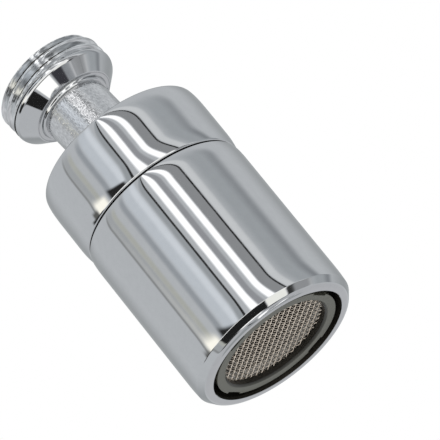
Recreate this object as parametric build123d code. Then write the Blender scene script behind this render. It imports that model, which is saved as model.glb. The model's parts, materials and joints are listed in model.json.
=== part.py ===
from build123d import *
import math
import os

# A swivel tap aerator: a threaded head and ball stem that swing and turn in a two-part
# chromed housing, which holds a mesh-type aerating cartridge. Sizes are in millimetres.
# The housing stands on its outlet lip, with its axis on Z.

# Housing
SLEEVE_D = 31.8             # outer diameter of the lower sleeve
SLEEVE_LENGTH = 33.5        # from the outlet lip up to the seam
SLEEVE_WALL = 1.95          # wall beside the cap's skirt
OUTLET_WALL = 2.65          # wall beside the cartridge
RIM_ROUND = 1.9             # rounding of the outlet rim, outside the flat ring it stands on
CAP_OVERHANG = 0.1          # the cap stands this much proud of the sleeve
CAP_HEIGHT = 13.7           # from the seam to the top face
CAP_EDGE_R = 0.7            # rounding of the cap's top edge
SEAM_BEVEL = 0.25           # bevel on both sides of the seam
SKIRT_LENGTH = 9.5          # threaded skirt of the cap inside the sleeve
SKIRT_FIT = 0.05            # radial room in that thread

# Ball joint
BALL_D = 17.4
NECK_D = 12.6
BORE_D = 7.8                # water way through the stem
BORE_BEVEL = 0.4            # bevel at both ends of the water way
MOUTH_LAND = 1.0            # flat ring round the water way under the ball
BEARING_WALL = 1.0          # acetal ring between ball and cap
BEARING_LOW_DEG = 2.0       # its lower and upper edges, as angles above the ball's equator
BEARING_HIGH_DEG = 33.0
BALL_CLEARANCE = 0.12       # running room on each side of the bearing ring and the seal
TILT_LIMIT_DEG = 15.0       # swing of the stem to each side of the housing's axis
REST_TILT_DEG = 5.5         # lean of the stem as the part is shown
NECK_CLEARANCE = 0.3        # room round the neck at the limit of its swing
SOCKET_LAND = 1.34          # height of the flared mouth above the socket
SEAL_DROP = 3.2             # top of the seal below the ball's centre
SEAL_HEIGHT = 2.4
SEAL_SHOULDER = 1.36        # shoulder in the cap above the seal
WASHER_T = 0.6
RETAINER_HEIGHT = 3.0
RETAINER_FIT = 0.05         # radial room in the retainer's thread
RETAINER_ROOM = 0.35        # retainer and washer to the ball, radially
SPANNER_SLOT = 2.4          # width and depth of the retainer's two spanner slots

# Threaded head, measured up the stem's own axis
NECK_REACH = 18.6           # from the ball's centre to the foot of the head
BOSS_STEP = 0.6             # the boss stands proud of the neck
BOSS_HEIGHT = 0.9
UNDERSIDE_WIDTH = 1.0       # dished ring between boss and rim
DISH_DEPTH = 0.3
BELL_HEIGHT = 3.0
BELL_BULGE = 0.08           # how far the bell's side bows out
THREAD_D = 20.955           # major diameter of a half-inch parallel pipe thread
THREAD_DEPTH = 1.162
THREAD_LENGTH = 3.65        # plain core for the thread, above the relief groove
RELIEF_WIDTH = 0.9          # groove between bell and thread
THREAD_BEVEL = 0.4
HEAD_WALL = 1.3             # wall of the cup inside the thread
HEAD_FLOOR = 2.9            # floor of the cup above the bell's rim
SPIGOT_D = 11.0             # upper end of the stem, screwed into the head
SPIGOT_FIT = 0.03

# Cartridge
INSERT_RECESS = 0.5         # cartridge foot above the outlet lip
AIR_GAP = 1.05              # ring gap where air is drawn in
CARTRIDGE_WALL = 1.2
SHELF_WIDTH = 0.75          # shelf under the outlet screen
SHELF_HEIGHT = 1.3
SHELF_BEVEL = 0.35
JET_STEP = 0.5              # step that carries the jet plate
FLANGE_HEIGHT = 1.8
FLANGE_ROOM = 0.2           # flange to sleeve, radially
INNER_FIT = 0.08            # radial room of the pieces inside the cartridge
NOTCH_COUNT = 4
NOTCH_WIDTH = 3.6
NOTCH_DEPTH = 0.5
NOTCH_HEIGHT = 1.6
NOTCH_TURN_DEG = 7.5        # first notch, from the X axis
WINDOW_COUNT = 8
WINDOW_WIDTH = 3.2
WINDOW_HEIGHT = 2.6
WINDOW_DROP = 0.9           # top of the air windows below the jet plate
GASKET_T = 1.6
GASKET_ROOM = 0.4           # gasket to strainer dome and to sleeve, radially
STRAINER_FLANGE_T = 1.0
STRAINER_HEIGHT = 3.4       # dome above the flange
STRAINER_WALL = 0.8
STRAINER_LEDGE = 2.0        # width of the strainer's flange
STRAINER_DRAW = 2.6         # the dome narrows by this much at its crown
STRAINER_HOLE_D = 1.3
STRAINER_INNER_R = 2.3      # two rings of holes in the crown
STRAINER_INNER_COUNT = 6
STRAINER_OUTER_R = 4.6
STRAINER_OUTER_COUNT = 12
JET_PLATE_T = 2.2
JET_HOLE_D = 1.4
JET_INNER_R = 4.6           # two rings of jets
JET_INNER_COUNT = 8
JET_OUTER_R = 8.6
JET_OUTER_COUNT = 16
MIXER_WALL = 1.1
FIN_COUNT = 8
FIN_WIDTH = 0.9
FIN_REACH = 4.0
FIN_HEIGHT = 3.0
SCREEN_T = 0.5
SCREEN_PITCH = 1.65         # coarse stand-in for the fine weave
SCREEN_WIRE = 0.6
SCREEN_RIM = 0.5
RIDGE_HEIGHT = 0.1          # crossing wires stand out on both faces
SPACER_T = 1.3
SPACER_WIDTH = 0.9

# Levels on the housing's axis
seam_z = SLEEVE_LENGTH
cap_top_z = seam_z + CAP_HEIGHT
skirt_end_z = seam_z - SKIRT_LENGTH
cartridge_top_z = skirt_end_z - GASKET_T
ledge_z = cartridge_top_z - FLANGE_HEIGHT
jet_top_z = cartridge_top_z - STRAINER_FLANGE_T
jet_seat_z = jet_top_z - JET_PLATE_T
screen_seat_z = INSERT_RECESS + SHELF_HEIGHT

# Radii of the housing and the cartridge
sleeve_r = SLEEVE_D / 2
cap_r = sleeve_r + CAP_OVERHANG
socket_r = sleeve_r - SLEEVE_WALL
skirt_r = socket_r - SKIRT_FIT
outlet_r = sleeve_r - OUTLET_WALL
insert_r = outlet_r - AIR_GAP
cartridge_r = insert_r - CARTRIDGE_WALL
shelf_r = cartridge_r - SHELF_WIDTH
jet_bore_r = cartridge_r + JET_STEP
flange_r = socket_r - FLANGE_ROOM
inner_r = cartridge_r - INNER_FIT
jet_r = jet_bore_r - INNER_FIT
dome_r = jet_r - STRAINER_LEDGE

# Radii of the ball joint
ball_r = BALL_D / 2
neck_r = NECK_D / 2
bore_r = BORE_D / 2
bearing_in_r = ball_r + BALL_CLEARANCE
bearing_out_r = bearing_in_r + BEARING_WALL
seat_r = bearing_out_r + BALL_CLEARANCE
seal_r = seat_r + SEAL_SHOULDER
cap_bore_r = seal_r + BALL_CLEARANCE
tilt = math.radians(TILT_LIMIT_DEG)


def mouth_radius(height):
    """Radius of the cap's mouth at a height above the ball's centre, clear of the swung neck."""
    return neck_r / math.cos(tilt) + height * math.tan(tilt) + NECK_CLEARANCE


def socket_edge():
    """Height above the ball's centre where the spherical socket meets the flared mouth."""
    slope = math.tan(tilt)
    start = mouth_radius(0)
    a = 1 + slope**2
    b = start * slope
    c = start**2 - seat_r**2
    return (math.sqrt(b**2 - a * c) - b) / a


def section(radius, height):
    """Radius of a sphere's level section at a height from its centre."""
    return math.sqrt(radius**2 - height**2)


ball_drop = socket_edge() + SOCKET_LAND
ball_z = cap_top_z - ball_drop
ball_flat = section(ball_r, bore_r + MOUTH_LAND)
neck_foot = section(ball_r, neck_r)
seal_top_z = ball_z - SEAL_DROP
seal_foot_z = seal_top_z - SEAL_HEIGHT
retainer_hole_r = section(ball_r, SEAL_DROP + SEAL_HEIGHT) + RETAINER_ROOM
washer_foot_z = seal_foot_z - WASHER_T

# Levels and radii of the head, from the ball's centre up the stem's axis
rim_h = NECK_REACH + BOSS_HEIGHT - DISH_DEPTH
bell_top_h = rim_h + BELL_HEIGHT
thread_foot_h = bell_top_h + RELIEF_WIDTH
head_top_h = thread_foot_h + THREAD_LENGTH
floor_h = rim_h + HEAD_FLOOR
boss_r = neck_r + BOSS_STEP
rim_r = boss_r + UNDERSIDE_WIDTH
thread_r = THREAD_D / 2
root_r = thread_r - THREAD_DEPTH
cup_r = root_r - HEAD_WALL
spigot_r = SPIGOT_D / 2


def turned(*outline):
    """Solid turned about Z from a closed outline of edges given as (radius, height)."""
    return revolve(Plane.XZ * make_face(Curve() + list(outline)), Axis.Z)


def rounding(start, corner, end):
    """Quarter-circle arc between two edges that would meet squarely at a corner."""
    share = 1 - math.sqrt(0.5)
    middle = [c + share * (s + e - 2 * c) for s, c, e in zip(start, corner, end)]
    return ThreePointArc(start, tuple(middle), end)


def ring(inner, outer, foot, height):
    """Plain ring about Z."""
    tube = Cylinder(outer, height) - Cylinder(inner, height)
    return Pos(0, 0, foot + height / 2) * tube


def leaned(piece):
    """Place a piece made about the ball's centre, leaning as the stem does at rest."""
    return Pos(0, 0, ball_z) * Rot(0, REST_TILT_DEG, 0) * piece


def around(count, radius, height, turn=0.0):
    """Places spread evenly round Z, each with its X axis pointing outwards."""
    step = 360 / count
    return [Rot(0, 0, turn + i * step) * Pos(radius, 0, height) for i in range(count)]


def drilled(places, hole_d, depth):
    """Straight holes along Z at a list of places."""
    return [place * Cylinder(hole_d / 2, depth) for place in places]


def thread_head():
    """Turned head: boss, dished underside, bell, relief groove, thread core and inlet cup."""
    bell_mid = ((rim_r + thread_r) / 2 + BELL_BULGE, (rim_h + bell_top_h) / 2 - BELL_BULGE)
    hole_r = spigot_r + SPIGOT_FIT
    dish_h = rim_h + DISH_DEPTH
    relief_bevel = THREAD_DEPTH / 4
    below = Polyline(
        (hole_r, floor_h), (hole_r, NECK_REACH), (boss_r, NECK_REACH), (boss_r, dish_h), (rim_r, rim_h)
    )
    bell = ThreePointArc((rim_r, rim_h), bell_mid, (thread_r, bell_top_h))
    above = Polyline(
        (thread_r, bell_top_h),
        (root_r, bell_top_h + relief_bevel),
        (root_r, thread_foot_h - relief_bevel),
        (thread_r, thread_foot_h),
        (thread_r, head_top_h - THREAD_BEVEL),
        (thread_r - THREAD_BEVEL, head_top_h),
        (cup_r, head_top_h),
        (cup_r, floor_h),
        (hole_r, floor_h),
    )
    return leaned(turned(below, bell, above))


def ball_stem():
    """Turned stem: ball, neck and the spigot that screws into the head, bored through."""
    mouth_r = bore_r + BORE_BEVEL
    flat_r = bore_r + MOUTH_LAND
    ball = ThreePointArc((flat_r, -ball_flat), (ball_r, 0), (neck_r, neck_foot))
    rest = Polyline(
        (neck_r, neck_foot),
        (neck_r, NECK_REACH),
        (spigot_r, NECK_REACH),
        (spigot_r, floor_h),
        (mouth_r, floor_h),
        (bore_r, floor_h - BORE_BEVEL),
        (bore_r, BORE_BEVEL - ball_flat),
        (mouth_r, -ball_flat),
        (flat_r, -ball_flat),
    )
    return leaned(turned(ball, rest))


def bearing_ring():
    """Spherical acetal ring that rides on the ball under the cap's socket."""

    def arc(radius):
        angles = (BEARING_LOW_DEG, (BEARING_LOW_DEG + BEARING_HIGH_DEG) / 2, BEARING_HIGH_DEG)
        spots = [(radius * math.cos(math.radians(a)), radius * math.sin(math.radians(a))) for a in angles]
        return ThreePointArc(*spots)

    inside = arc(bearing_in_r)
    outside = arc(bearing_out_r)
    low = Line(inside @ 0, outside @ 0)
    high = Line(inside @ 1, outside @ 1)
    return leaned(turned(inside, high, outside, low))


def upper_cap():
    """Cap with a rounded top edge, a flared mouth, the ball's socket and a threaded skirt."""
    edge = socket_edge()
    edge_point = (mouth_radius(edge), ball_z + edge)
    half = math.asin(edge / seat_r) / 2
    seat_mid = (seat_r * math.cos(half), ball_z + seat_r * math.sin(half))
    side_end = (cap_r, cap_top_z - CAP_EDGE_R)
    top_start = (cap_r - CAP_EDGE_R, cap_top_z)
    outside = Polyline(
        (cap_bore_r, skirt_end_z),
        (skirt_r, skirt_end_z),
        (skirt_r, seam_z),
        (cap_r - SEAM_BEVEL, seam_z),
        (cap_r, seam_z + SEAM_BEVEL),
        side_end,
    )
    shoulder = rounding(side_end, (cap_r, cap_top_z), top_start)
    mouth = Polyline(top_start, (mouth_radius(ball_drop), cap_top_z), edge_point)
    seat = ThreePointArc(edge_point, seat_mid, (seat_r, ball_z))
    inside = Polyline(
        (seat_r, ball_z), (seat_r, seal_top_z), (cap_bore_r, seal_top_z), (cap_bore_r, skirt_end_z)
    )
    return turned(outside, shoulder, mouth, seat, inside)


def ball_seal():
    """Rubber ring with a hollow seat that bears on the ball from below."""
    top_r = section(bearing_in_r, SEAL_DROP)
    foot_drop = SEAL_DROP + SEAL_HEIGHT
    foot_r = section(bearing_in_r, foot_drop)
    mid_drop = SEAL_DROP + SEAL_HEIGHT / 2
    seat = ThreePointArc(
        (foot_r, seal_foot_z), (section(bearing_in_r, mid_drop), ball_z - mid_drop), (top_r, seal_top_z)
    )
    back = Polyline((top_r, seal_top_z), (seal_r, seal_top_z), (seal_r, seal_foot_z), (foot_r, seal_foot_z))
    return turned(seat, back)


def thrust_washer():
    """Thin washer that the seal turns on."""
    return ring(retainer_hole_r, seal_r, washer_foot_z, WASHER_T)


def seal_retainer():
    """Threaded ring that holds the seal up, with two slots for a spanner."""
    foot_z = washer_foot_z - RETAINER_HEIGHT
    body = ring(retainer_hole_r, cap_bore_r - RETAINER_FIT, foot_z, RETAINER_HEIGHT)
    slot = Box(2 * cap_bore_r, SPANNER_SLOT, SPANNER_SLOT)
    return body - Pos(0, 0, foot_z) * slot


def outlet_sleeve():
    """Sleeve with a rounded outlet rim, a ledge for the cartridge and the socket for the skirt."""
    lip_end = (sleeve_r - RIM_ROUND, 0)
    side_start = (sleeve_r, RIM_ROUND)
    rim = rounding(lip_end, (sleeve_r, 0), side_start)
    rest = Polyline(
        side_start,
        (sleeve_r, seam_z - SEAM_BEVEL),
        (sleeve_r - SEAM_BEVEL, seam_z),
        (socket_r, seam_z),
        (socket_r, ledge_z),
        (outlet_r, ledge_z),
        (outlet_r, 0),
        lip_end,
    )
    return turned(rim, rest)


def air_windows(inner, outer):
    """Cutters for the air windows through a wall between two radii."""
    depth = 2 * (outer - inner)
    middle = jet_seat_z - WINDOW_DROP - WINDOW_HEIGHT / 2
    cutter = Box(depth, WINDOW_WIDTH, WINDOW_HEIGHT)
    return [place * cutter for place in around(WINDOW_COUNT, (inner + outer) / 2, middle)]


def cartridge_body():
    """Insert that hangs from its flange: shelf for the screens, air windows, notched foot."""
    outline = Polyline(
        (shelf_r + SHELF_BEVEL, INSERT_RECESS),
        (insert_r, INSERT_RECESS),
        (insert_r, ledge_z),
        (flange_r, ledge_z),
        (flange_r, cartridge_top_z),
        (jet_bore_r, cartridge_top_z),
        (jet_bore_r, jet_seat_z),
        (cartridge_r, jet_seat_z),
        (cartridge_r, screen_seat_z),
        (shelf_r, screen_seat_z),
        (shelf_r, INSERT_RECESS + SHELF_BEVEL),
        (shelf_r + SHELF_BEVEL, INSERT_RECESS),
    )
    notch = Box(2 * NOTCH_DEPTH, NOTCH_WIDTH, 2 * NOTCH_HEIGHT)
    notches = [spot * notch for spot in around(NOTCH_COUNT, insert_r, INSERT_RECESS, NOTCH_TURN_DEG)]
    return turned(outline) - notches - air_windows(cartridge_r, insert_r)


def cartridge_gasket():
    """Flat gasket clamped between the cap's skirt and the cartridge."""
    return ring(dome_r + GASKET_ROOM, socket_r - GASKET_ROOM, cartridge_top_z, GASKET_T)


def inlet_strainer():
    """Domed strainer that sits on the jet plate."""
    crown_z = cartridge_top_z + STRAINER_HEIGHT
    crown_r = dome_r - STRAINER_DRAW
    under_r = dome_r - STRAINER_WALL
    outline = Polyline(
        (under_r, jet_top_z),
        (jet_r, jet_top_z),
        (jet_r, cartridge_top_z),
        (dome_r, cartridge_top_z),
        (crown_r, crown_z),
        (0, crown_z),
        (0, crown_z - STRAINER_WALL),
        (crown_r - STRAINER_WALL, crown_z - STRAINER_WALL),
        (under_r, jet_top_z),
    )
    places = around(STRAINER_INNER_COUNT, STRAINER_INNER_R, crown_z)
    places += around(STRAINER_OUTER_COUNT, STRAINER_OUTER_R, crown_z)
    return turned(outline) - drilled(places, STRAINER_HOLE_D, 4 * STRAINER_WALL)


def jet_plate():
    """Perforated plate that splits the flow into jets."""
    middle = jet_seat_z + JET_PLATE_T / 2
    plate = Pos(0, 0, middle) * Cylinder(jet_r, JET_PLATE_T)
    places = around(JET_INNER_COUNT, JET_INNER_R, middle) + around(JET_OUTER_COUNT, JET_OUTER_R, middle)
    return plate - drilled(places, JET_HOLE_D, 2 * JET_PLATE_T)


def mixing_ring(foot_z):
    """Tube under the jet plate, open at the air windows, with fins that break up the jets."""
    wall_r = inner_r - MIXER_WALL
    tube = ring(wall_r, inner_r, foot_z, jet_seat_z - foot_z)
    fin = Box(FIN_REACH, FIN_WIDTH, FIN_HEIGHT)
    fin_r = wall_r - FIN_REACH / 2 + MIXER_WALL / 2
    fins = [place * fin for place in around(FIN_COUNT, fin_r, foot_z + FIN_HEIGHT / 2)]
    return tube + fins - air_windows(wall_r, inner_r)


def screen(foot_z):
    """Mesh disc: square gaps in a thin wall, with crossing wires raised on its two faces."""
    mesh_r = inner_r - SCREEN_RIM
    gap = SCREEN_PITCH - SCREEN_WIRE
    reach = math.ceil(inner_r / SCREEN_PITCH)
    steps = [(i + 0.5) * SCREEN_PITCH for i in range(-reach, reach)]

    def inside_rim(x, y):
        return math.hypot(abs(x) + gap / 2, abs(y) + gap / 2) < mesh_r

    inside = [Pos(x, y) for x in steps for y in steps if inside_rim(x, y)]
    face = Circle(inner_r) - [place * Rectangle(gap, gap) for place in inside]
    plate = extrude(face, SCREEN_T - 2 * RIDGE_HEIGHT)
    lines = [i * SCREEN_PITCH for i in range(-reach, reach + 1) if abs(i) * SCREEN_PITCH < mesh_r]
    along = [Pos(0, y) * Rectangle(2 * section(mesh_r, y), SCREEN_WIRE / 2) for y in lines]
    under = extrude(Sketch() + along, -RIDGE_HEIGHT)
    over = Pos(0, 0, SCREEN_T - 2 * RIDGE_HEIGHT) * extrude(Rot(0, 0, 90) * (Sketch() + along), RIDGE_HEIGHT)
    return Pos(0, 0, foot_z + RIDGE_HEIGHT) * (plate + under + over)


def spacer(foot_z):
    """Ring that keeps two screens apart."""
    return ring(inner_r - SPACER_WIDTH, inner_r, foot_z, SPACER_T)


def screen_stack():
    """Screens and spacers from the shelf upwards, with the mixing ring on top."""
    names = ("outlet_screen", "lower_spacer", "middle_screen", "upper_spacer", "upper_screen")
    pieces = {}
    level = screen_seat_z
    for name in names:
        is_screen = name.endswith("screen")
        pieces[name] = screen(level) if is_screen else spacer(level)
        level += SCREEN_T if is_screen else SPACER_T
    pieces["mixing_ring"] = mixing_ring(level)
    return pieces


nodes = {
    "thread_head": thread_head(),
    "ball_stem": ball_stem(),
    "bearing_ring": bearing_ring(),
    "upper_cap": upper_cap(),
    "ball_seal": ball_seal(),
    "thrust_washer": thrust_washer(),
    "seal_retainer": seal_retainer(),
    "outlet_sleeve": outlet_sleeve(),
    "cartridge_body": cartridge_body(),
    "cartridge_gasket": cartridge_gasket(),
    "inlet_strainer": inlet_strainer(),
    "jet_plate": jet_plate(),
    **screen_stack(),
}

os.makedirs("parts", exist_ok=True)
for name, piece in nodes.items():
    export_step(piece, f"parts/{name}.step")
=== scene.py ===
"""Looks of a swivel tap aerator: chromed housing, ball stem and threaded head, and a mesh outlet."""

import json
import math

import bmesh
import bpy
from mathutils import Matrix, Vector


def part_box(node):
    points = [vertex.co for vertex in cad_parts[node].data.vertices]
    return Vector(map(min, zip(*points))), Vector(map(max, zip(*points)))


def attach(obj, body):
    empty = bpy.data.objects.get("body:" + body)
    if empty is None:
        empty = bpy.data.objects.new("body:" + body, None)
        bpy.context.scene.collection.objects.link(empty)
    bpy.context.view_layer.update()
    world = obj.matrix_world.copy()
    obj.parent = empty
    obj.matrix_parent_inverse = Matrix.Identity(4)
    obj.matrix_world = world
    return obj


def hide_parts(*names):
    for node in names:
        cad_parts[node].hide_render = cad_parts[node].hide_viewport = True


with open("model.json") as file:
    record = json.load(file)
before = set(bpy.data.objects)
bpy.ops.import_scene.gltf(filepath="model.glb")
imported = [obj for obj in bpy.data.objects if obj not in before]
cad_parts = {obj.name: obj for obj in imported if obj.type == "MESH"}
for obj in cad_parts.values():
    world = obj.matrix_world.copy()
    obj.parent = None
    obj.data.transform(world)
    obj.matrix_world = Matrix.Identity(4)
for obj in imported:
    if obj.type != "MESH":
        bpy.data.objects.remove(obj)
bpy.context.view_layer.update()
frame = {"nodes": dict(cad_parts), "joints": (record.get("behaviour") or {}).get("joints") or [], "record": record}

MM = 0.001

# The photograph's view: where the viewer stands, and where the outlet lip lies in the picture
VIEW_AZIMUTH_DEG = 121.9
VIEW_ELEVATION_DEG = -24.2
VIEW_ROLL_DEG = 39.04
VIEW_DISTANCE = 0.794
PICTURE_PX = 440
LIP_PX = (278.4, 346.1)
PX_PER_MM = 5.939
SENSOR_MM = 36.0

# Fineness of the turned pieces
AROUND = 288
EDGE_ARC_STEPS = 6
SHARP_DEG = 32.0


def half_width(node):
    """Radius of a node that is round about Z."""
    low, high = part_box(node)
    return (high.x - low.x) / 2 / MM


# Levels and radii of the housing in millimetres, from the frame
sleeve_r = half_width("outlet_sleeve")
cap_r = half_width("upper_cap")
seam_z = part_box("outlet_sleeve")[1].z / MM
cap_top_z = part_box("upper_cap")[1].z / MM
skirt_end_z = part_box("upper_cap")[0].z / MM
screen_low_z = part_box("outlet_screen")[0].z / MM
screen_high_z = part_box("outlet_screen")[1].z / MM
screen_r = half_width("outlet_screen")
screen_t = screen_high_z - screen_low_z

# The stem's own frame: its origin is the ball's centre, and its Z axis runs up the stem
stem_joint = next(j for j in frame["joints"] if j["name"] == "stem_turn")
ball_centre = Vector(stem_joint["pos_m"])
stem_axis = Vector(stem_joint["axis"]).normalized()
stem_lean = math.atan2(stem_axis.x, stem_axis.z)
stem_frame = Matrix.Translation(ball_centre) @ stem_axis.to_track_quat("Z", "Y").to_matrix().to_4x4()


def polyline(points, step):
    """Points of a polyline with each run divided to be no longer than a step."""
    found = []
    for (r0, z0), (r1, z1) in zip(points, points[1:]):
        count = max(1, math.ceil(math.hypot(r1 - r0, z1 - z0) / step))
        found += [(r0 + (r1 - r0) * i / count, z0 + (z1 - z0) * i / count) for i in range(count)]
    return found + [points[-1]]


def mesh_piece(name, bm, *materials):
    """Object from a bmesh, smooth but for its sharp edges."""
    bmesh.ops.recalc_face_normals(bm, faces=bm.faces)
    mesh = bpy.data.meshes.new(name)
    bm.to_mesh(mesh)
    bm.free()
    mesh.shade_smooth()
    mesh.set_sharp_from_angle(angle=math.radians(SHARP_DEG))
    for material in materials:
        mesh.materials.append(material)
    piece = bpy.data.objects.new(name, mesh)
    bpy.context.scene.collection.objects.link(piece)
    return piece


def grid_mesh(radius_of, levels, place, around=AROUND):
    """Surface of rings about Z: radius_of(level index, angle) gives a (radius, height) in millimetres."""
    bm = bmesh.new()
    rings = []
    for i in range(levels):
        ring = []
        for j in range(around):
            angle = 2 * math.pi * j / around
            r, z = radius_of(i, angle)
            spot = Vector((r * math.cos(angle), r * math.sin(angle), z)) * MM
            ring.append(bm.verts.new(place @ spot))
        rings.append(ring)
    for i in range(levels):
        low, high = rings[i], rings[(i + 1) % levels]
        for j in range(around):
            k = (j + 1) % around
            bm.faces.new((low[j], low[k], high[k], high[j]))
    return bm


def turned(name, outside, inside, materials, place=Matrix.Identity(4)):
    """Piece turned about Z from an outline in millimetres, its outside and its inside in two finishes."""
    outline = outside + inside
    bm = grid_mesh(lambda i, angle: outline[i], len(outline), place)
    for n, face in enumerate(bm.faces):
        face.material_index = int(n // AROUND >= len(outside) - 1)
    return mesh_piece(name, bm, *materials)


# Materials: noise scales are in waves to a metre, reliefs and radii in metres

NOISE_RANGE = (0.3, 0.7)    # most of a noise texture's values lie in here
CHROME_TONES = ((0.595, 0.60, 0.61), (0.615, 0.62, 0.63))
CHROME_ROUGH = (0.03, 0.06)
GRAIN_ROUGH = (0.12, 0.06)  # rougher in the hollows
HAZE_SCALE = 900
RIPPLE_SCALE = 260
RIPPLE_RELIEF = 0.000004
MOTTLE_SCALE = 700
MOULD_SCALE = 3000
MOULD_RELIEF = 0.00001
MARKS_SCALE = 300
MARKS_STRETCH = (5, 5, 0.07)
# Painted shade on the wall inside a plastic part's bore: the width of its edge and its colour
BORE_SHADE_EDGE = 0.0006
BORE_SHADE_COLOUR = (0.018, 0.017, 0.013)


def new_material(name):
    """Node material with an empty tree but for its output and principled shader."""
    material = bpy.data.materials.new(name)
    material.use_nodes = True
    tree = material.node_tree
    return material, tree, tree.nodes["Principled BSDF"]


def math_node(tree, operation, *values):
    """Math node on sockets or numbers."""
    node = tree.nodes.new("ShaderNodeMath")
    node.operation = operation
    for i, value in enumerate(values):
        if isinstance(value, (int, float)):
            node.inputs[i].default_value = value
        else:
            tree.links.new(value, node.inputs[i])
    return node.outputs["Value"]


def colour_mix(tree, factor, first, second):
    """Colour mix of sockets or colours."""
    node = tree.nodes.new("ShaderNodeMix")
    node.data_type = "RGBA"
    tree.links.new(factor, node.inputs["Factor"])
    for name, value in (("A", first), ("B", second)):
        if isinstance(value, tuple):
            node.inputs[name].default_value = (*value, 1)
        else:
            tree.links.new(value, node.inputs[name])
    return node.outputs["Result"]


def falloff(tree, value, inner, outer):
    """1 up to an inner value, smoothly down to 0 at an outer one."""
    node = tree.nodes.new("ShaderNodeMapRange")
    node.interpolation_type = "SMOOTHSTEP"
    node.inputs["From Min"].default_value = inner
    node.inputs["From Max"].default_value = outer
    node.inputs["To Min"].default_value = 1
    node.inputs["To Max"].default_value = 0
    tree.links.new(value, node.inputs["Value"])
    return node.outputs["Result"]


def noise(tree, scale, detail=2.0, stretch=(1, 1, 1), lean=0.0):
    """Noise in the part's own frame, stretched along axes that lean about Y; gives its value socket."""
    place = tree.nodes.new("ShaderNodeTexCoord")
    mapping = tree.nodes.new("ShaderNodeMapping")
    mapping.vector_type = "TEXTURE"
    mapping.inputs["Rotation"].default_value = (0, lean, 0)
    mapping.inputs["Scale"].default_value = stretch
    texture = tree.nodes.new("ShaderNodeTexNoise")
    texture.inputs["Scale"].default_value = scale
    texture.inputs["Detail"].default_value = detail
    tree.links.new(place.outputs["Object"], mapping.inputs["Vector"])
    tree.links.new(mapping.outputs["Vector"], texture.inputs["Vector"])
    return texture.outputs["Fac"]


def axis_distance(tree):
    """Distance from the housing's axis."""
    place = tree.nodes.new("ShaderNodeTexCoord")
    split = tree.nodes.new("ShaderNodeSeparateXYZ")
    tree.links.new(place.outputs["Object"], split.inputs["Vector"])
    squares = [math_node(tree, "MULTIPLY", split.outputs[axis], split.outputs[axis]) for axis in "XY"]
    return math_node(tree, "SQRT", math_node(tree, "ADD", *squares))


def spread(tree, value, low, high):
    """Map a noise value to a range."""
    node = tree.nodes.new("ShaderNodeMapRange")
    node.inputs["From Min"].default_value = NOISE_RANGE[0]
    node.inputs["From Max"].default_value = NOISE_RANGE[1]
    node.inputs["To Min"].default_value = low
    node.inputs["To Max"].default_value = high
    tree.links.new(value, node.inputs["Value"])
    return node.outputs["Result"]


def tint(tree, value, dark, light):
    """Colour between two tones by a noise value."""
    return colour_mix(tree, spread(tree, value, 0, 1), dark, light)


def bump(tree, shader, height, distance):
    """Fine relief from a height value."""
    node = tree.nodes.new("ShaderNodeBump")
    node.inputs["Strength"].default_value = 1.0
    node.inputs["Distance"].default_value = distance
    tree.links.new(height, node.inputs["Height"])
    tree.links.new(node.outputs["Normal"], shader.inputs["Normal"])


def chrome():
    """Chrome plate: a mirror with a slight ripple and faint haze."""
    material, tree, shader = new_material("chrome")
    haze = noise(tree, HAZE_SCALE, 4)
    shader.inputs["Metallic"].default_value = 1.0
    tree.links.new(tint(tree, haze, *CHROME_TONES), shader.inputs["Base Color"])
    tree.links.new(spread(tree, haze, *CHROME_ROUGH), shader.inputs["Roughness"])
    bump(tree, shader, noise(tree, RIPPLE_SCALE, 1), RIPPLE_RELIEF)
    return material


def grained_chrome(name, scale, stretch, relief, dark, light):
    """Chrome plate over a surface left rough: grain in the stem's own frame, darker in its hollows."""
    material, tree, shader = new_material(name)
    grain = noise(tree, scale, 2, stretch, stem_lean)
    shader.inputs["Metallic"].default_value = 1.0
    tree.links.new(tint(tree, grain, dark, light), shader.inputs["Base Color"])
    tree.links.new(spread(tree, grain, *GRAIN_ROUGH), shader.inputs["Roughness"])
    bump(tree, shader, grain, relief)
    return material


def plastic(name, dark, light, rough=(0.35, 0.5), bore=None):
    """Moulded plastic with a faint mottle and grain, with painted shade darkening it inside the radius of a bore.
    """
    material, tree, shader = new_material(name)
    mottle = noise(tree, MOTTLE_SCALE, 3)
    colour = tint(tree, mottle, dark, light)
    if bore:
        # Painted shade: everything inside the bore's radius darkens towards near-black
        inside = falloff(tree, axis_distance(tree), bore, bore + BORE_SHADE_EDGE)
        colour = colour_mix(tree, inside, colour, BORE_SHADE_COLOUR)
    tree.links.new(colour, shader.inputs["Base Color"])
    tree.links.new(spread(tree, mottle, *rough), shader.inputs["Roughness"])
    bump(tree, shader, noise(tree, MOULD_SCALE, 2), MOULD_RELIEF)
    return material


def metal(name, dark, light, rough):
    """Plain metal with turning marks round Z."""
    material, tree, shader = new_material(name)
    marks = noise(tree, MARKS_SCALE, 3, MARKS_STRETCH)
    shader.inputs["Metallic"].default_value = 1.0
    tree.links.new(tint(tree, marks, dark, light), shader.inputs["Base Color"])
    tree.links.new(spread(tree, marks, *rough), shader.inputs["Roughness"])
    return material


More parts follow.
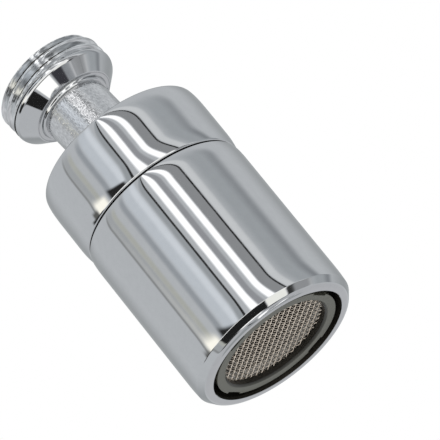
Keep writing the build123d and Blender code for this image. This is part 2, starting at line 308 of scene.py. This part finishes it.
CHROME = chrome()
NECK_CHROME = grained_chrome(
    "neck_chrome", 2600, (1, 1, 1.6), 0.000055, dark=(0.54, 0.54, 0.55), light=(0.74, 0.745, 0.755)
)
THREAD_CHROME = grained_chrome(
    "thread_chrome", 3000, (10, 10, 1), 0.000035, dark=(0.47, 0.475, 0.48), light=(0.88, 0.89, 0.90)
)
WIRE = metal("wire", (0.58, 0.51, 0.44), (0.78, 0.70, 0.61), (0.22, 0.35))
# Turned metal whose near-black tone is painted shade: used on the housing's and stem's inner walls, the thread's
# groove bottoms and the inner screens
SHADE_METAL = metal("shade_metal", (0.055, 0.05, 0.042), (0.085, 0.078, 0.066), (0.45, 0.6))
BRASS = metal("brass", (0.62, 0.46, 0.20), (0.74, 0.58, 0.30), (0.2, 0.35))
ACETAL = plastic("acetal", (0.80, 0.79, 0.73), (0.88, 0.87, 0.82))
RUBBER = plastic("rubber", (0.015, 0.015, 0.015), (0.035, 0.035, 0.035), (0.5, 0.7))
# The insert's bore wall gets painted shade inside this radius
GREY_PLASTIC = plastic(
    "grey_plastic", (0.100, 0.102, 0.080), (0.130, 0.131, 0.106), rough=(0.3, 0.42), bore=0.01025
)
WHITE_PLASTIC = plastic("white_plastic", (0.74, 0.74, 0.70), (0.84, 0.84, 0.81))

MATERIAL_OF_SLOT = {
    "chrome": CHROME,
    "brass": BRASS,
    "acetal": ACETAL,
    "rubber": RUBBER,
    "grey_plastic": GREY_PLASTIC,
    "white_plastic": WHITE_PLASTIC,
    "steel_mesh": WIRE,
}


# Housing: sizes in millimetres that the frame's boxes don't give

OUTLET_WALL = 2.65
SOCKET_WALL = 1.95
SKIRT_FIT = 0.05
FLANGE_HEIGHT = 1.8
EDGE_BREAK = 0.1            # broken edges of the lip and the mouth
LIP_LAND = 0.6              # the outlet's wall is one plain run down to here
RIM_HEIGHT = 1.6            # outlet rim: a narrow edge, a bevel and a rounding into the lip
RIM_EDGE_R = 0.25
RIM_BEVEL_DEG = 36.0        # the bevel faces this far below level
RIM_BEVEL_LENGTH = 1.15
RIM_BEVEL_STEP = 0.2
CAP_EDGE = 0.6              # rounded top edge of the cap
CAP_TOP_INSET = 0.3         # the flat top starts this far inside that edge
MOUTH_INSET = 0.2           # and ends this far outside the mouth
CAP_TOP_STEP = 1.5
SEAM_GAP = 0.28             # open line between cap and sleeve
CAP_SEAM_BREAK = 0.35       # rounded edges on both sides of it
SLEEVE_SEAM_BREAK = 0.12
SIDE_STEPS = 96
SLEEVE_INSIDE_STEP = 2.0
CAP_INSIDE_STEP = 2.5
SEAT_STEPS = 16
# Roll-off of the polished sides towards their ends: length, drop at the end, power
SLEEVE_LOW_EASE = (4.0, 0.14, 3)
SLEEVE_HIGH_EASE = (3.0, 0.2, 3)
CAP_LOW_EASE = (3.5, 0.24, 3)
CAP_HIGH_EASE = (5.4, 0.28, 4)
outlet_r = sleeve_r - OUTLET_WALL
socket_r = sleeve_r - SOCKET_WALL
skirt_r = socket_r - SKIRT_FIT
ledge_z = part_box("cartridge_body")[1].z / MM - FLANGE_HEIGHT

# Ball joint and head, measured from the ball's centre up the stem's axis
BALL_R = 8.7
NECK_R = 6.3
NECK_START = 0.2            # the neck's rows start this far above the ball
NECK_STEP = 0.4
HEAD_GAP = 0.02             # the neck ends this far below the head
BALL_STEPS = 60
BORE_R = 3.9
BORE_BEVEL = 0.4
MOUTH_LAND = 1.0
SEAT_R = 9.94
SEAL_SHOULDER_R = 11.42
SEAL_DROP = 3.2
SOCKET_LAND = 1.34
TILT_LIMIT_DEG = 15.0
NECK_CLEARANCE = 0.3
NECK_REACH = 18.6
SPIGOT_R = 5.5
SPIGOT_FIT = 0.03
SPIGOT_BEVEL = 0.2
BOSS_R = 6.9
BOSS_ROUND = 0.45
BOSS_END_DEG = -8.0         # the boss's rounding ends just short of its upright side
DISH_START = (6.94, 19.28)  # hollow ring under the head, as an arc through three points
DISH_MIDDLE = (7.2, 19.5)
DISH_END = (7.8, 19.22)
DISH_STEPS = 16
RIM_POINT = (7.9, 19.26)    # crisp rim under the bell
BELL_TOP_H = 22.2
BELL_SHOULDER_R = 1.0       # rounding of the bell's side into its upper edge
SHOULDER_START_DEG = -45.0
BELL_STEP = 0.15
SHOULDER_STEPS = 14
THREAD_R = 10.4775
THREAD_DEPTH = 1.162
THREAD_PITCH = 1.814
THREAD_ROOT = 0.06          # the ridge's bottom and its two flanks, as shares of the pitch
THREAD_FLANKS = 0.74
THREAD_FOOT_H = 23.1
THREAD_RUNOUT = 0.45        # the ridge runs out this far into the relief groove
RELIEF_EDGE = [(0.05, 0.14), (0.3, 0.22), (THREAD_DEPTH, 0.36)]  # that groove's lower side: depth and rise
HEAD_TOP_H = 26.75
THREAD_BEVEL = 0.4
THREAD_STEPS = 64
GROOVE_DEPTH = 0.05         # the thread's grooves get painted shade up to this far above their bottom
CUP_R = 8.0155
CUP_EDGE = 0.15
FLOOR_H = 22.1
ball_z = ball_centre.z / MM


def arc(centre, radius, start_deg, end_deg, steps):
    """Points of an arc in the outline's plane."""
    angles = [math.radians(start_deg + (end_deg - start_deg) * k / steps) for k in range(steps + 1)]
    return [(centre[0] + radius * math.cos(a), centre[1] + radius * math.sin(a)) for a in angles]


def arc_through(start, middle, end, steps):
    """Points of the arc through three points."""
    a, b, c = (Vector(p) for p in (start, middle, end))
    ab, ac = b - a, c - a
    cross = 2 * (ab.x * ac.y - ab.y * ac.x)
    offset = Vector((ac.y * ab.length_squared - ab.y * ac.length_squared,
                     ab.x * ac.length_squared - ac.x * ab.length_squared)) / cross
    centre = a + offset
    first = math.atan2(a.y - centre.y, a.x - centre.x)
    turn = (math.atan2(c.y - centre.y, c.x - centre.x) - first + math.pi) % (2 * math.pi) - math.pi
    return arc(centre, offset.length, math.degrees(first), math.degrees(first + turn), steps)


def eased_side(radius, low_z, high_z, low_ease, high_ease):
    """Side of a turned shell, from low to high, rolled off towards both ends; finer towards the ends."""
    points = []
    for i in range(SIDE_STEPS + 1):
        z = low_z + (high_z - low_z) * (1 - math.cos(math.pi * i / SIDE_STEPS)) / 2
        drop = 0.0
        for (length, depth, power), reach in ((low_ease, z - low_z), (high_ease, high_z - z)):
            drop += depth * max(0.0, 1 - reach / length) ** power
        points.append((radius - drop, z))
    return points


def end_lean(ease):
    """Angle that an eased side leans by at its end."""
    length, depth, power = ease
    return math.atan(power * depth / length)


def edge_round(end, ease, height, way, steps):
    """Arc that carries an eased side on from its end to a level face, up (way 1) or down (way -1)."""
    lean = end_lean(ease)
    radius = height / (1 - math.sin(lean))
    centre = (end[0] - radius * math.cos(lean), end[1] - way * radius * math.sin(lean))
    return arc(centre, radius, way * math.degrees(lean), way * 90, steps)


def carried(piece, body, slot, *nodes):
    """Put a piece on its body in place of its solids."""
    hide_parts(*nodes)
    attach(piece, body)


def outlet_rim(end):
    """Rim from the side's lower end to the lip: a narrow edge, a bevel and a rounding."""
    lean = end_lean(SLEEVE_LOW_EASE)
    facing = math.radians(RIM_BEVEL_DEG)
    out, down = math.cos(facing), math.sin(facing)
    centre = (end[0] - RIM_EDGE_R * math.cos(lean), end[1] + RIM_EDGE_R * math.sin(lean))
    edge = arc(centre, RIM_EDGE_R, -math.degrees(lean), -RIM_BEVEL_DEG, EDGE_ARC_STEPS)
    foot = (edge[-1][0] - RIM_BEVEL_LENGTH * down, edge[-1][1] - RIM_BEVEL_LENGTH * out)
    bevel = polyline([edge[-1], foot], RIM_BEVEL_STEP)[1:-1]
    radius = foot[1] / (1 - down)
    rounding = arc((foot[0] - radius * out, radius), radius, -RIM_BEVEL_DEG, -90, 3 * EDGE_ARC_STEPS)
    return edge + bevel + rounding


def outlet_shell():
    """Sleeve with a bevelled outlet rim and a rolled-off side."""
    top_z = seam_z - SEAM_GAP / 2
    side = eased_side(sleeve_r, RIM_HEIGHT, top_z - SLEEVE_SEAM_BREAK, SLEEVE_LOW_EASE, SLEEVE_HIGH_EASE)
    rim = outlet_rim(side[0])[::-1]
    seam = edge_round(side[-1], SLEEVE_HIGH_EASE, SLEEVE_SEAM_BREAK, 1, EDGE_ARC_STEPS)
    lip = [(outlet_r, EDGE_BREAK), (outlet_r + EDGE_BREAK, 0)]
    wall = [(socket_r, top_z), (socket_r, ledge_z), (outlet_r, ledge_z), (outlet_r, LIP_LAND)]
    inside = polyline(wall, SLEEVE_INSIDE_STEP)
    # The sleeve's inner walls take the near-black metal: painted shade
    return turned("outlet_shell", lip + rim[:-1] + side + seam[1:], inside, (CHROME, SHADE_METAL))


def cap_shell():
    """Cap with a rounded top edge, a flared mouth and the socket for the ball."""
    foot_z = seam_z + SEAM_GAP / 2
    slope = math.tan(math.radians(TILT_LIMIT_DEG))
    mouth_foot_r = NECK_R / math.cos(math.radians(TILT_LIMIT_DEG)) + NECK_CLEARANCE
    mouth_r = mouth_foot_r + (cap_top_z - ball_z) * slope
    edge_z = cap_top_z - SOCKET_LAND
    edge_r = mouth_foot_r + (edge_z - ball_z) * slope
    side = eased_side(cap_r, foot_z + CAP_SEAM_BREAK, cap_top_z - CAP_EDGE, CAP_LOW_EASE, CAP_HIGH_EASE)
    seam = edge_round(side[0], CAP_LOW_EASE, CAP_SEAM_BREAK, -1, EDGE_ARC_STEPS)[::-1]
    edge = edge_round(side[-1], CAP_HIGH_EASE, CAP_EDGE, 1, 3 * EDGE_ARC_STEPS)
    top_ends = [(edge[-1][0] - CAP_TOP_INSET, cap_top_z), (mouth_r + MOUTH_INSET, cap_top_z)]
    top = polyline(top_ends, CAP_TOP_STEP)
    mouth = [(mouth_r, cap_top_z - EDGE_BREAK), (edge_r, edge_z)]
    seat = arc((0, ball_z), SEAT_R, math.degrees(math.asin((edge_z - ball_z) / SEAT_R)), 0, SEAT_STEPS)[1:]
    seal_z = ball_z - SEAL_DROP
    wall = [
        (SEAT_R, seal_z),
        (SEAL_SHOULDER_R, seal_z),
        (SEAL_SHOULDER_R, skirt_end_z),
        (skirt_r, skirt_end_z),
        (skirt_r, foot_z),
    ]
    inside = polyline(wall, CAP_INSIDE_STEP)
    # The cap's inner walls take the near-black metal: painted shade
    return turned("cap_shell", seam[:-1] + side + edge[1:] + top + mouth, seat + inside, (CHROME, SHADE_METAL))


def stem():
    """Ball, neck and spigot, bored through."""
    flat_r = BORE_R + MOUTH_LAND
    low_deg = -math.degrees(math.acos(flat_r / BALL_R))
    high_deg = math.degrees(math.acos(NECK_R / BALL_R))
    ball = arc((0, 0), BALL_R, low_deg, high_deg, BALL_STEPS)
    neck_end_h = NECK_REACH - HEAD_GAP
    neck = polyline([(NECK_R, ball[-1][1] + NECK_START), (NECK_R, neck_end_h)], NECK_STEP)
    spigot = [(SPIGOT_R, neck_end_h), (SPIGOT_R, FLOOR_H - SPIGOT_BEVEL), (SPIGOT_R - SPIGOT_BEVEL, FLOOR_H)]
    bore = [
        (BORE_R + BORE_BEVEL, FLOOR_H),
        (BORE_R, FLOOR_H - BORE_BEVEL),
        (BORE_R, ball[0][1] + BORE_BEVEL),
        (BORE_R + BORE_BEVEL, ball[0][1]),
    ]
    # The stem's bore takes the near-black metal: painted shade
    return turned("stem", ball + neck + spigot, bore, (NECK_CHROME, SHADE_METAL), stem_frame)


def thread_height(h, angle):
    """Radius of the thread at a height and an angle: a rounded right-hand ridge, cut off by the end bevel."""
    phase = ((h - THREAD_FOOT_H) / THREAD_PITCH - angle / (2 * math.pi)) % 1
    ridge = min(1, max(0, (abs(2 * phase - 1) - THREAD_ROOT) / THREAD_FLANKS))
    limit = THREAD_R - max(0, h - (HEAD_TOP_H - THREAD_BEVEL))
    return min(limit, THREAD_R - THREAD_DEPTH * (1 - ridge))


def head():
    """Threaded head: boss, dished underside, bell, relief groove, helical thread and inlet cup."""
    root_r = THREAD_R - THREAD_DEPTH
    hole_r = SPIGOT_R + SPIGOT_FIT
    boss = (BOSS_R - BOSS_ROUND, NECK_REACH + BOSS_ROUND)
    below = [(hole_r, NECK_REACH)] + arc(boss, BOSS_ROUND, -90, BOSS_END_DEG, 2 * EDGE_ARC_STEPS)
    dish = arc_through(DISH_START, DISH_MIDDLE, DISH_END, DISH_STEPS)
    middle = (THREAD_R - BELL_SHOULDER_R, BELL_TOP_H)
    shoulder = arc(middle, BELL_SHOULDER_R, SHOULDER_START_DEG, 0, SHOULDER_STEPS)
    edge = [(THREAD_R - depth, BELL_TOP_H + rise) for depth, rise in RELIEF_EDGE]
    bell = polyline([RIM_POINT, shoulder[0]], BELL_STEP)[:-1] + shoulder + edge[:1]
    start_h = THREAD_FOOT_H - THREAD_RUNOUT
    groove = edge[1:] + [(root_r, start_h)]
    rows = below + dish + bell + groove
    step = (HEAD_TOP_H - start_h) / THREAD_STEPS
    thread = [(None, start_h + step * k) for k in range(1, THREAD_STEPS + 1)]
    mouth = [(CUP_R + CUP_EDGE, HEAD_TOP_H), (CUP_R, HEAD_TOP_H - CUP_EDGE)]
    inside = mouth + [(CUP_R, FLOOR_H), (hole_r, FLOOR_H)]
    rows += thread + inside

    def radius_of(i, angle):
        r, h = rows[i]
        return (thread_height(h, angle) if r is None else r), h

    bm = grid_mesh(radius_of, len(rows), stem_frame, 2 * AROUND)
    rough_rows = range(len(below) + len(dish) + len(bell), len(rows) - len(inside) - 1)
    for n, face in enumerate(bm.faces):
        i, j = divmod(n, 2 * AROUND)
        if i in rough_rows:
            # Groove bottoms take the near-black metal: painted shade
            deep = radius_of(i, math.pi * j / AROUND)[0] < root_r + GROOVE_DEPTH
            face.material_index = 2 if deep else 1
    return mesh_piece("head", bm, CHROME, THREAD_CHROME, SHADE_METAL)


# Woven screens
WIRE_PITCH = 0.85
WIRE_D = 0.17
WEAVE_TURN_DEG = 20.0
WIRE_SIDES = 6
STEPS_PER_PITCH = 6


def wire(bm, start, along, across, length, phase):
    """One wavy wire of a weave, as a closed tube."""
    count = max(2, round(length / WIRE_PITCH * STEPS_PER_PITCH))
    sway = (screen_t - WIRE_D) / 2
    rings = []
    for i in range(count + 1):
        t = length * i / count
        lift = sway * math.cos(math.pi * (t / WIRE_PITCH) + phase)
        ring = []
        for k in range(WIRE_SIDES):
            a = 2 * math.pi * k / WIRE_SIDES
            side = WIRE_D / 2 * math.cos(a)
            up = WIRE_D / 2 * math.sin(a) + lift
            spot = start + along * t + across * side
            ring.append(bm.verts.new((spot.x * MM, spot.y * MM, up * MM)))
        rings.append(ring)
    for low, high in zip(rings, rings[1:]):
        for k in range(WIRE_SIDES):
            m = (k + 1) % WIRE_SIDES
            bm.faces.new((low[k], low[m], high[m], high[k]))
    bm.faces.new(rings[0])
    bm.faces.new(rings[-1])


def woven_screen(node, material):
    """Plain weave of wires in place of a node's disc."""
    bm = bmesh.new()
    turn = math.radians(WEAVE_TURN_DEG)
    x_axis = Vector((math.cos(turn), math.sin(turn)))
    y_axis = Vector((-math.sin(turn), math.cos(turn)))
    reach = int(screen_r / WIRE_PITCH)
    for along, across, shift in ((x_axis, y_axis, 0.0), (y_axis, x_axis, math.pi)):
        for i in range(-reach, reach + 1):
            offset = i * WIRE_PITCH
            half = math.sqrt(screen_r**2 - (abs(offset) + WIRE_D / 2) ** 2)
            start = across * offset - along * half
            phase = math.pi * (i - half / WIRE_PITCH) + shift
            wire(bm, start, along, across, 2 * half, phase)
    low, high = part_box(node)
    bmesh.ops.translate(bm, verts=bm.verts, vec=(0, 0, (low.z + high.z) / 2))
    return mesh_piece(node.replace("screen", "weave"), bm, material)


carried(outlet_shell(), "housing", "chrome", "outlet_sleeve")
carried(cap_shell(), "housing", "chrome", "upper_cap")
carried(stem(), "connector", "chrome", "ball_stem")
carried(head(), "connector", "chrome", "thread_head")
# The inner screens take the near-black metal: painted shade seen through the outlet weave's gaps
for screen, finish in (("outlet_screen", WIRE), ("middle_screen", SHADE_METAL), ("upper_screen", SHADE_METAL)):
    carried(woven_screen(screen, finish), "housing", "steel_mesh", screen)


# CAD nodes that keep their own solids

def dress_cad_nodes():
    """Give each remaining node the finish of its slot."""
    slots = {entry["node"]: entry["material_slot"] for entry in frame["record"]["subparts"]}
    for name, node in frame["nodes"].items():
        node.data.materials.clear()
        node.data.materials.append(MATERIAL_OF_SLOT[slots[name]])


dress_cad_nodes()


# Floor, light and camera

def add_camera():
    """Camera at the photograph's view."""
    azimuth = math.radians(VIEW_AZIMUTH_DEG)
    elevation = math.radians(VIEW_ELEVATION_DEG)
    roll = math.radians(VIEW_ROLL_DEG)
    level_back = Vector((math.cos(azimuth), math.sin(azimuth), 0))
    back = level_back * math.cos(elevation) + Vector((0, 0, math.sin(elevation)))
    level_right = Vector((-math.sin(azimuth), math.cos(azimuth), 0))
    level_up = back.cross(level_right)
    right = level_right * math.cos(roll) - level_up * math.sin(roll)
    up = level_right * math.sin(roll) + level_up * math.cos(roll)
    aside = (PICTURE_PX / 2 - LIP_PX[0]) / PX_PER_MM * MM
    above = (LIP_PX[1] - PICTURE_PX / 2) / PX_PER_MM * MM
    data = bpy.data.cameras.new("camera")
    data.sensor_width = SENSOR_MM
    data.lens = SENSOR_MM * VIEW_DISTANCE / (PICTURE_PX / PX_PER_MM * MM)
    data.clip_start = 0.01
    data.clip_end = 10
    camera = bpy.data.objects.new("camera", data)
    camera.matrix_world = Matrix.Translation(back * VIEW_DISTANCE + right * aside + up * above) @ Matrix(
        (right, up, back)
    ).transposed().to_4x4()
    bpy.context.scene.collection.objects.link(camera)
    bpy.context.scene.camera = camera


FLOOR_HALF = 0.6            # in metres
FLOOR_DROP = 0.0002         # the floor lies this far under the part
FLOOR_SCALE = 30
FLOOR_ROUGH = 0.8
FLOOR_TONES = ((0.84, 0.84, 0.84), (0.88, 0.88, 0.88))
FLOOR_FADE_START = 0.03     # distances from the axis between which the floor fades to white
FLOOR_FADE_END = 0.14


def shader_mix(tree, factor, first, second):
    """Mix of two shaders."""
    node = tree.nodes.new("ShaderNodeMixShader")
    for i, value in enumerate((factor, first, second)):
        tree.links.new(value, node.inputs[i])
    return node.outputs["Shader"]


def add_floor():
    """Pale floor that fades to white, seen from above only: the photograph looks up from below it."""
    bm = bmesh.new()
    bmesh.ops.create_grid(bm, x_segments=1, y_segments=1, size=FLOOR_HALF)
    material, tree, shader = new_material("floor")
    shader.inputs["Roughness"].default_value = FLOOR_ROUGH
    tree.links.new(tint(tree, noise(tree, FLOOR_SCALE, 2), *FLOOR_TONES), shader.inputs["Base Color"])
    side = tree.nodes.new("ShaderNodeNewGeometry")
    clear = tree.nodes.new("ShaderNodeBsdfTransparent")
    white = tree.nodes.new("ShaderNodeEmission")
    near = falloff(tree, axis_distance(tree), FLOOR_FADE_START, FLOOR_FADE_END)
    faded = shader_mix(tree, near, white.outputs["Emission"], shader.outputs["BSDF"])
    shown = shader_mix(tree, side.outputs["Backfacing"], faded, clear.outputs["BSDF"])
    tree.links.new(shown, tree.nodes["Material Output"].inputs["Surface"])
    floor = mesh_piece("floor", bm, material)
    floor.location.z = -FLOOR_DROP
    floor.visible_diffuse = False
    floor.visible_glossy = False
    floor.visible_transmission = False
    floor.visible_shadow = False


# The studio that mirrors see. Azimuths are in degrees from the viewer, towards the picture's right.
WHITE = (1.0, 1.0, 1.0)
MATT_LIGHT = (0.75, 0.75, 0.75)
STUDIO_GREY = (0.685, 0.71, 0.73)
UPRIGHT_STRIPS = [
    # azimuth, half width, softness, top elevation, its softness, colour
    (-170.0, 35.0, 40.0, 80.0, 20.0, (0.43, 0.45, 0.46)),
    (170.0, 35.0, 40.0, 80.0, 20.0, (0.43, 0.45, 0.46)),
    (-69.0, 6.5, 6.0, 40.0, 20.0, (0.54, 0.56, 0.57)),
    (-74.5, 1.5, 2.0, 36.0, 16.0, (0.38, 0.39, 0.39)),
    (-60.0, 3.5, 5.0, 36.0, 16.0, (0.62, 0.63, 0.58)),
    (-42.0, 4.0, 6.0, 40.0, 20.0, (0.46, 0.49, 0.52)),
    (-26.0, 11.0, 8.0, 55.0, 30.0, (0.78, 0.83, 0.88)),
    (-20.0, 4.0, 6.0, 55.0, 30.0, (0.95, 1.00, 1.05)),
]
STRIP_LEAN_DEG = 35.0       # these run together overhead, at a point leaning this far towards the viewer
LEANING_STRIPS = [
    # azimuth in an upright side, half width, softness, top elevation, its softness, colour
    (-10.0, 3.5, 5.0, 60.0, 20.0, (0.48, 0.51, 0.53)),
    (-6.0, 1.3, 1.2, 85.0, 10.0, (0.03, 0.03, 0.03)),
    (5.6, 4.2, 3.4, 85.0, 10.0, (1.75, 1.75, 1.75)),
    (13.8, 3.6, 3.0, 85.0, 10.0, (0.44, 0.45, 0.47)),
    (26.2, 4.0, 3.4, 85.0, 10.0, (1.75, 1.75, 1.75)),
    (37.0, 6.4, 3.0, 85.0, 10.0, (0.39, 0.40, 0.41)),
    (44.7, 1.3, 1.0, 85.0, 10.0, (0.03, 0.03, 0.03)),
    (52.0, 5.0, 4.0, 60.0, 20.0, (0.88, 0.90, 0.91)),
    (76.0, 16.0, 20.0, 34.0, 20.0, (0.50, 0.53, 0.55)),
    (93.0, 7.0, 14.0, 28.0, 16.0, (0.34, 0.36, 0.38)),
]
# Patches below and beside the viewer; later ones lie on top. Their elevations are bowed: towards the sides
# they lie higher. The slant is their rise for each degree of azimuth.
PATCHES = [
    # azimuth, half width, softness, lower and upper elevation, softness, slant, colour
    (-61.0, 10.0, 8.0, -10.0, 12.0, 8.0, 0.0, (1.6, 1.55, 1.38)),
    (-76.0, 5.0, 5.0, -10.0, 4.0, 6.0, 0.0, (0.16, 0.16, 0.15)),
    (-32.0, 13.0, 6.0, -20.0, 12.0, 5.0, -0.25, (0.03, 0.03, 0.03)),
    (-7.0, 58.0, 10.0, -40.0, -4.0, 4.0, 0.0, (1.30, 1.30, 1.27)),
    (-76.0, 12.0, 6.0, -40.0, -4.0, 4.0, 0.0, (0.03, 0.03, 0.03)),
    (-16.5, 42.5, 3.0, -54.0, -40.0, 3.0, 0.0, (0.02, 0.02, 0.02)),
    (43.0, 16.0, 3.0, -54.0, -40.0, 3.0, 0.0, (1.3, 1.3, 1.22)),
    (66.0, 6.0, 5.0, -54.0, -40.0, 3.0, 0.0, (0.05, 0.05, 0.05)),
    (84.0, 12.0, 12.0, -54.0, -36.0, 6.0, 0.0, (0.42, 0.43, 0.44)),
    (0.0, 180.0, 1.0, -100.0, -54.0, 3.0, 0.0, (0.66, 0.68, 0.70)),
    (-58.0, 19.0, 3.0, -66.0, -54.0, 3.0, 0.0, (0.02, 0.02, 0.02)),
    (-8.0, 24.0, 4.0, -66.0, -54.0, 3.0, 0.0, (1.7, 1.7, 1.65)),
    (36.0, 15.0, 6.0, -66.0, -54.0, 3.0, 0.0, (0.06, 0.06, 0.07)),
    (58.0, 9.0, 8.0, -66.0, -54.0, 3.0, 0.0, (0.36, 0.38, 0.40)),
    (0.0, 180.0, 1.0, -100.0, -66.0, 4.0, 0.0, (0.64, 0.65, 0.67)),
]
PATCH_BOW = 10.0 / 70.0**2


def meridian(azimuth_deg):
    """Angle round the leaning point overhead of what an upright side mirrors at an azimuth."""
    azimuth, lean = math.radians(azimuth_deg), math.radians(STRIP_LEAN_DEG)
    rise = -math.radians(VIEW_ELEVATION_DEG)
    ahead = math.cos(lean) * math.cos(rise) * math.cos(azimuth) - math.sin(lean) * math.sin(rise)
    return math.degrees(math.atan2(math.cos(rise) * math.sin(azimuth), ahead))


def add_strips(tree, turn, elevation, colour, rows, turn_of):
    """Paint strips over a colour: turn_of gives the turn that belongs to an azimuth."""
    for azimuth, half, soft, top, fade, shade in rows:
        centre = turn_of(azimuth)
        scale = (turn_of(azimuth + half) - turn_of(azimuth - half)) / (2 * half)
        away = math_node(tree, "ABSOLUTE", math_node(tree, "SUBTRACT", turn, centre))
        inner, outer = (half - soft / 2) * scale, (half + soft / 2) * scale
        beside = falloff(tree, away, inner, outer)
        below = falloff(tree, elevation, top - fade / 2, top + fade / 2)
        colour = colour_mix(tree, math_node(tree, "MULTIPLY", beside, below), colour, shade)
    return colour


def add_patches(tree, azimuth, elevation, colour):
    """Paint the patches over a colour."""
    for centre, half, soft, low, high, blend, slant, shade in PATCHES:
        beside = math_node(tree, "SUBTRACT", azimuth, centre)
        away = math_node(tree, "ABSOLUTE", beside)
        middle = math_node(tree, "MULTIPLY_ADD", beside, slant, (low + high) / 2)
        above = math_node(tree, "ABSOLUTE", math_node(tree, "SUBTRACT", elevation, middle))
        reach = (high - low) / 2
        share = math_node(
            tree,
            "MULTIPLY",
            falloff(tree, away, half - soft / 2, half + soft / 2),
            falloff(tree, above, reach - blend / 2, reach + blend / 2),
        )
        colour = colour_mix(tree, share, colour, shade)
    return colour


def add_world():
    """White to the camera, soft and even for matt surfaces, a striped studio for mirrors."""
    world = bpy.data.worlds.new("studio")
    bpy.context.scene.world = world
    world.use_nodes = True
    tree = world.node_tree
    place = tree.nodes.new("ShaderNodeTexCoord")
    turn = tree.nodes.new("ShaderNodeVectorRotate")
    turn.rotation_type = "Z_AXIS"
    turn.inputs["Angle"].default_value = -math.radians(VIEW_AZIMUTH_DEG)
    split = tree.nodes.new("ShaderNodeSeparateXYZ")
    tree.links.new(place.outputs["Generated"], turn.inputs["Vector"])
    tree.links.new(turn.outputs["Vector"], split.inputs["Vector"])
    ahead, aside, rise = (split.outputs[axis] for axis in "XYZ")
    lean = math.radians(STRIP_LEAN_DEG)
    leaned = math_node(
        tree,
        "SUBTRACT",
        math_node(tree, "MULTIPLY", ahead, math.cos(lean)),
        math_node(tree, "MULTIPLY", rise, math.sin(lean)),
    )
    to_degrees = 180 / math.pi
    azimuth = math_node(tree, "MULTIPLY", math_node(tree, "ARCTAN2", aside, ahead), to_degrees)
    meridian_turn = math_node(tree, "MULTIPLY", math_node(tree, "ARCTAN2", aside, leaned), to_degrees)
    elevation = math_node(tree, "MULTIPLY", math_node(tree, "ARCSINE", rise), to_degrees)
    bow = math_node(tree, "MULTIPLY", math_node(tree, "MULTIPLY", azimuth, azimuth), PATCH_BOW)
    bowed = math_node(tree, "SUBTRACT", elevation, bow)
    studio = add_strips(tree, azimuth, elevation, STUDIO_GREY, UPRIGHT_STRIPS, lambda degrees: degrees)
    studio = add_strips(tree, meridian_turn, elevation, studio, LEANING_STRIPS, meridian)
    studio = add_patches(tree, azimuth, bowed, studio)
    path = tree.nodes.new("ShaderNodeLightPath")
    light = colour_mix(tree, path.outputs["Is Glossy Ray"], MATT_LIGHT, studio)
    shown = colour_mix(tree, path.outputs["Is Camera Ray"], light, WHITE)
    tree.links.new(shown, tree.nodes["Background"].inputs["Color"])


LAMP_POWER = 1.2            # in watts
LAMP_SIZE = 0.4             # in metres
LAMP_SPOT = (-0.25, 0.3, 0.55)


def add_lamp():
    """One large soft lamp, above and to the left in the picture."""
    data = bpy.data.lights.new("key", "AREA")
    data.energy = LAMP_POWER
    data.size = LAMP_SIZE
    lamp = bpy.data.objects.new("key", data)
    lamp.location = LAMP_SPOT
    lamp.rotation_euler = (-lamp.location).to_track_quat("-Z", "Y").to_euler()
    lamp.visible_glossy = False
    bpy.context.scene.collection.objects.link(lamp)


add_camera()
add_floor()
add_world()
add_lamp()
bpy.context.scene.view_settings.view_transform = "Standard"
